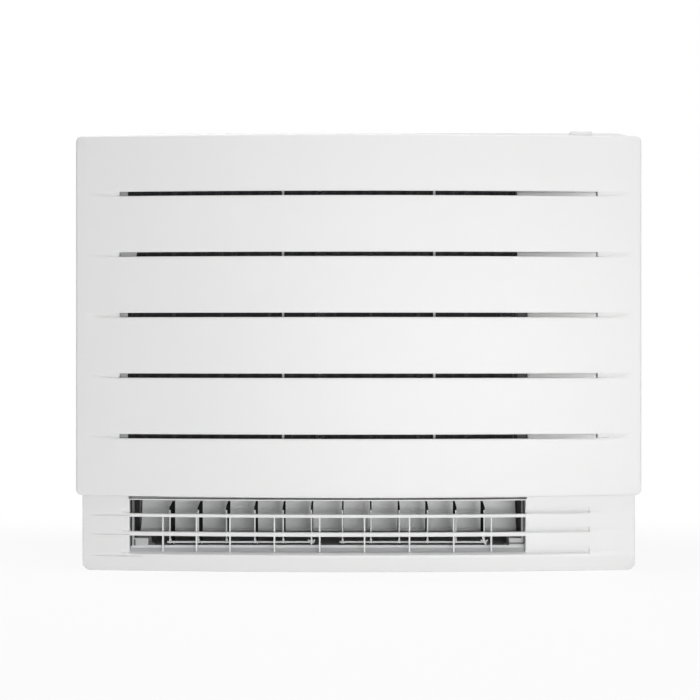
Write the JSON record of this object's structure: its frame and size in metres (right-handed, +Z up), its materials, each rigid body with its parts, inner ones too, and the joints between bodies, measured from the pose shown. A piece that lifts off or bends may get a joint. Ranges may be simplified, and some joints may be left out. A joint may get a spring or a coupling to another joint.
{
  "type": "floor-level split air conditioner indoor unit",
  "caption": "Low console air conditioner indoor unit with a bowed slotted front panel, a lower outlet with guard and louvre, and a top flap.",
  "frame": {"origin": "centre of the four wall screws, on the wall plane", "axes": "+Y into the wall, +X to the right seen from the front, +Z up"},
  "size_m": [0.75, 0.2379, 0.6],
  "materials": {
    "white_abs": "satin moulded",
    "light_abs": "satin moulded",
    "grey_abs": "satin moulded",
    "dark_abs": "satin moulded",
    "dark_net": "matt woven",
    "dark_frame": "matt moulded",
    "cassette": "matt moulded",
    "galvanised": "galvanised sheet",
    "bright_steel": "turned and plated",
    "fins": "pressed foil",
    "copper": "drawn tube",
    "brass": "turned",
    "fan_plastic": "matt moulded",
    "motor_shell": "dark lacquer",
    "board": "solder mask",
    "terminals": "moulded",
    "lens": "tinted",
    "rubber": "moulded"
  },
  "bodies": {
    "root": {"wall_plate": "galvanised", "rear_frame": "white_abs", "front_casing": "white_abs", "outlet_fascia": "white_abs", "guard_bars": "white_abs", "guard_uprights": "white_abs", "filter_frames": "dark_frame", "filter_nets": "dark_net", "deodoriser_cassettes": "cassette", "fin_pack": "fins", "coil_end_plates": "galvanised", "return_bends": "copper", "gas_pipe": "copper", "liquid_pipe": "copper", "flare_unions": "brass", "drain_pan": "light_abs", "bell_mouth": "light_abs", "fan_scroll": "light_abs", "fan_motor": "motor_shell", "motor_bracket": "galvanised", "lower_duct": "light_abs", "upper_duct": "light_abs", "step_motors": "bright_steel", "control_box": "galvanised", "control_cover": "galvanised", "control_board": "board", "terminal_block": "terminals", "receiver_housing": "white_abs", "receiver_lens": "lens", "receiver_board": "board", "casing_screws": "bright_steel", "cable_grommet": "rubber"},
    "fan": {"fan_wheel": "fan_plastic", "fan_nut": "bright_steel", "motor_shaft": "bright_steel"},
    "front_panel": {"front_panel": "white_abs"},
    "upper_flap": {"upper_flap": "white_abs"},
    "lower_damper": {"lower_damper": "grey_abs"},
    "power_button": {"power_button": "white_abs"},
    "panel_stopper_left": {"panel_stopper_left": "light_abs"},
    "panel_stopper_right": {"panel_stopper_right": "light_abs"},
    "lower_rod_left": {"lower_rod_left": "light_abs"},
    "lower_rod_right": {"lower_rod_right": "light_abs"},
    "upper_rod": {"upper_rod": "light_abs"},
    "lower_blade_1": {"lower_blade_1": "dark_abs"},
    "lower_blade_2": {"lower_blade_2": "dark_abs"},
    "lower_blade_3": {"lower_blade_3": "dark_abs"},
    "lower_blade_4": {"lower_blade_4": "dark_abs"},
    "lower_blade_5": {"lower_blade_5": "dark_abs"},
    "lower_blade_6": {"lower_blade_6": "dark_abs"},
    "lower_blade_7": {"lower_blade_7": "dark_abs"},
    "lower_blade_8": {"lower_blade_8": "dark_abs"},
    "lower_blade_9": {"lower_blade_9": "dark_abs"},
    "lower_blade_10": {"lower_blade_10": "dark_abs"},
    "lower_blade_11": {"lower_blade_11": "dark_abs"},
    "lower_blade_12": {"lower_blade_12": "dark_abs"},
    "upper_blade_1": {"upper_blade_1": "grey_abs"},
    "upper_blade_2": {"upper_blade_2": "grey_abs"},
    "upper_blade_3": {"upper_blade_3": "grey_abs"},
    "upper_blade_4": {"upper_blade_4": "grey_abs"}
  },
  "joints": [
    {"name": "front_panel_hinge", "type": "hinge", "parent": "root", "child": "front_panel", "pos_m": [0, -0.222, -0.196], "axis": [1, 0, 0], "range_deg": [0, 30]},
    {"name": "upper_flap_hinge", "type": "hinge", "parent": "root", "child": "upper_flap", "pos_m": [-0.04, -0.1097, 0.29025], "axis": [-1, 0, 0], "range_deg": [0, 75]},
    {"name": "lower_damper_hinge", "type": "hinge", "parent": "root", "child": "lower_damper", "pos_m": [-0.04, -0.141, -0.21], "axis": [1, 0, 0], "range_deg": [0, 80]},
    {"name": "fan_spin", "type": "hinge", "parent": "root", "child": "fan", "pos_m": [-0.04, -0.08, 0.038], "axis": [0, 1, 0], "continuous": true},
    {"name": "lower_blade_1_pivot", "type": "hinge", "parent": "root", "child": "lower_blade_1", "pos_m": [-0.252, -0.172, -0.24], "axis": [0, 0, 1], "range_deg": [-25, 25]},
    {"name": "lower_blade_2_pivot", "type": "hinge", "parent": "root", "child": "lower_blade_2", "pos_m": [-0.2142, -0.172, -0.24], "axis": [0, 0, 1], "range_deg": [-25, 25]},
    {"name": "lower_blade_3_pivot", "type": "hinge", "parent": "root", "child": "lower_blade_3", "pos_m": [-0.1764, -0.172, -0.24], "axis": [0, 0, 1], "range_deg": [-25, 25]},
    {"name": "lower_blade_4_pivot", "type": "hinge", "parent": "root", "child": "lower_blade_4", "pos_m": [-0.1386, -0.172, -0.24], "axis": [0, 0, 1], "range_deg": [-25, 25]},
    {"name": "lower_blade_5_pivot", "type": "hinge", "parent": "root", "child": "lower_blade_5", "pos_m": [-0.1008, -0.172, -0.24], "axis": [0, 0, 1], "range_deg": [-25, 25]},
    {"name": "lower_blade_6_pivot", "type": "hinge", "parent": "root", "child": "lower_blade_6", "pos_m": [-0.063, -0.172, -0.24], "axis": [0, 0, 1], "range_deg": [-25, 25]},
    {"name": "lower_blade_7_pivot", "type": "hinge", "parent": "root", "child": "lower_blade_7", "pos_m": [-0.0215, -0.172, -0.24], "axis": [0, 0, 1], "range_deg": [-25, 25]},
    {"name": "lower_blade_8_pivot", "type": "hinge", "parent": "root", "child": "lower_blade_8", "pos_m": [0.0163, -0.172, -0.24], "axis": [0, 0, 1], "range_deg": [-25, 25]},
    {"name": "lower_blade_9_pivot", "type": "hinge", "parent": "root", "child": "lower_blade_9", "pos_m": [0.0541, -0.172, -0.24], "axis": [0, 0, 1], "range_deg": [-25, 25]},
    {"name": "lower_blade_10_pivot", "type": "hinge", "parent": "root", "child": "lower_blade_10", "pos_m": [0.0919, -0.172, -0.24], "axis": [0, 0, 1], "range_deg": [-25, 25]},
    {"name": "lower_blade_11_pivot", "type": "hinge", "parent": "root", "child": "lower_blade_11", "pos_m": [0.1297, -0.172, -0.24], "axis": [0, 0, 1], "range_deg": [-25, 25]},
    {"name": "lower_blade_12_pivot", "type": "hinge", "parent": "root", "child": "lower_blade_12", "pos_m": [0.1675, -0.172, -0.24], "axis": [0, 0, 1], "range_deg": [-25, 25]},
    {"name": "lower_rod_left_link", "type": "hinge", "parent": "lower_blade_1", "child": "lower_rod_left", "pos_m": [-0.252, -0.2015, -0.2625], "axis": [0, 0, 1], "range_deg": [-25, 25]},
    {"name": "lower_rod_right_link", "type": "hinge", "parent": "lower_blade_7", "child": "lower_rod_right", "pos_m": [-0.0215, -0.2015, -0.2625], "axis": [0, 0, 1], "range_deg": [-25, 25]},
    {"name": "upper_blade_1_pivot", "type": "hinge", "parent": "root", "child": "upper_blade_1", "pos_m": [-0.217, -0.15, 0.264], "axis": [0, 1, 0], "range_deg": [-30, 30]},
    {"name": "upper_blade_2_pivot", "type": "hinge", "parent": "root", "child": "upper_blade_2", "pos_m": [-0.099, -0.15, 0.264], "axis": [0, 1, 0], "range_deg": [-30, 30]},
    {"name": "upper_blade_3_pivot", "type": "hinge", "parent": "root", "child": "upper_blade_3", "pos_m": [0.019, -0.15, 0.264], "axis": [0, 1, 0], "range_deg": [-30, 30]},
    {"name": "upper_blade_4_pivot", "type": "hinge", "parent": "root", "child": "upper_blade_4", "pos_m": [0.137, -0.15, 0.264], "axis": [0, 1, 0], "range_deg": [-30, 30]},
    {"name": "upper_rod_link", "type": "hinge", "parent": "upper_blade_1", "child": "upper_rod", "pos_m": [-0.217, -0.191, 0.253], "axis": [0, 1, 0], "range_deg": [-30, 30]},
    {"name": "power_button_press", "type": "slide", "parent": "root", "child": "power_button", "axis": [0, 0, -1], "range_m": [0, 0.0012], "stiffness_N_per_m": 400, "springref_m": -0.0012},
    {"name": "panel_stopper_left_slide", "type": "slide", "parent": "root", "child": "panel_stopper_left", "axis": [1, 0, 0], "range_m": [0, 0.008]},
    {"name": "panel_stopper_right_slide", "type": "slide", "parent": "root", "child": "panel_stopper_right", "axis": [-1, 0, 0], "range_m": [0, 0.008]}
  ],
  "couplings": [
    {"joint": "lower_blade_2_pivot", "follows": "lower_blade_1_pivot", "ratio": 1},
    {"joint": "lower_blade_3_pivot", "follows": "lower_blade_1_pivot", "ratio": 1},
    {"joint": "lower_blade_4_pivot", "follows": "lower_blade_1_pivot", "ratio": 1},
    {"joint": "lower_blade_5_pivot", "follows": "lower_blade_1_pivot", "ratio": 1},
    {"joint": "lower_blade_6_pivot", "follows": "lower_blade_1_pivot", "ratio": 1},
    {"joint": "lower_rod_left_link", "follows": "lower_blade_1_pivot", "ratio": -1},
    {"joint": "lower_blade_8_pivot", "follows": "lower_blade_7_pivot", "ratio": 1},
    {"joint": "lower_blade_9_pivot", "follows": "lower_blade_7_pivot", "ratio": 1},
    {"joint": "lower_blade_10_pivot", "follows": "lower_blade_7_pivot", "ratio": 1},
    {"joint": "lower_blade_11_pivot", "follows": "lower_blade_7_pivot", "ratio": 1},
    {"joint": "lower_blade_12_pivot", "follows": "lower_blade_7_pivot", "ratio": 1},
    {"joint": "lower_rod_right_link", "follows": "lower_blade_7_pivot", "ratio": -1},
    {"joint": "upper_blade_2_pivot", "follows": "upper_blade_1_pivot", "ratio": 1},
    {"joint": "upper_blade_3_pivot", "follows": "upper_blade_1_pivot", "ratio": 1},
    {"joint": "upper_blade_4_pivot", "follows": "upper_blade_1_pivot", "ratio": 1},
    {"joint": "upper_rod_link", "follows": "upper_blade_1_pivot", "ratio": -1}
  ]
}
